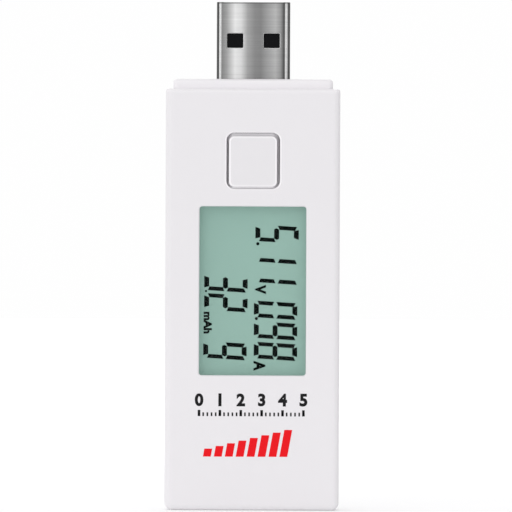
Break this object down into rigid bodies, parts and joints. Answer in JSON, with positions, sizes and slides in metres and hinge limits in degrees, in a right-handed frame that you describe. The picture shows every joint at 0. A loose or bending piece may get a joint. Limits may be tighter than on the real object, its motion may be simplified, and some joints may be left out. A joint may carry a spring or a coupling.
{
  "type": "usb power meter",
  "caption": "Stick-shaped inline USB tester with a USB-A plug, a segment display, a square push button and a USB-A socket in the foot.",
  "frame": {"origin": "middle of the foot, where the stick stands upright, on the casing's centre lines", "axes": "+Z along the stick towards the plug, -Y out of the display, +X to the right seen from the display side"},
  "size_m": [0.0284, 0.0142, 0.0829],
  "materials": {
    "white_plastic": "fine satin moulding",
    "black_plastic": "satin moulding",
    "clear_plastic": "clear polished",
    "display_glass": "polished",
    "polariser_film": "smooth film",
    "milky_plastic": "milky, light scattering",
    "striped_rubber": "matt, layered",
    "board_laminate": "solder resist",
    "plated_steel": "bright nickel plate",
    "gold_plate": "gold plated contact",
    "tinned_metal": "satin can",
    "led_body": "moulded"
  },
  "bodies": {
    "casing": {"front_shell": "white_plastic", "back_shell": "white_plastic", "display_lens": "clear_plastic", "front_polariser": "polariser_film", "rear_polariser": "polariser_film", "display_front_glass": "display_glass", "display_rear_glass": "display_glass", "backlight_diffuser": "milky_plastic", "backlight_led_1": "led_body", "backlight_led_2": "led_body", "display_frame": "black_plastic", "zebra_strip_left": "striped_rubber", "zebra_strip_right": "striped_rubber", "switch_base": "black_plastic", "switch_cover": "plated_steel", "switch_dome": "plated_steel", "plug_shell": "plated_steel", "plug_insulator": "black_plastic", "socket_shell": "plated_steel", "socket_insulator": "black_plastic", "main_board": "board_laminate", "controller_chip": "black_plastic", "amplifier_chip": "black_plastic", "memory_chip": "black_plastic", "voltage_regulator": "black_plastic", "shunt_resistor": "tinned_metal", "crystal": "tinned_metal", "input_capacitor": "tinned_metal", "output_capacitor": "tinned_metal", "plug_contact_1": "gold_plate", "socket_contact_1": "gold_plate", "case_screw_1": "plated_steel", "plug_contact_2": "gold_plate", "socket_contact_2": "gold_plate", "case_screw_2": "plated_steel", "plug_contact_3": "gold_plate", "socket_contact_3": "gold_plate", "case_screw_3": "plated_steel", "plug_contact_4": "gold_plate", "socket_contact_4": "gold_plate", "case_screw_4": "plated_steel"},
    "button": {"button_cap": "white_plastic"},
    "plunger": {"switch_plunger": "black_plastic"}
  },
  "joints": [
    {"name": "button_press", "type": "slide", "parent": "casing", "child": "button", "axis": [0, 1, 0], "range_m": [0, 0.00025], "stiffness_N_per_m": 3000},
    {"name": "plunger_press", "type": "slide", "parent": "casing", "child": "plunger", "axis": [0, 1, 0], "range_m": [0, 0.00025], "stiffness_N_per_m": 500}
  ],
  "couplings": [
    {"joint": "plunger_press", "follows": "button_press", "ratio": 1}
  ]
}
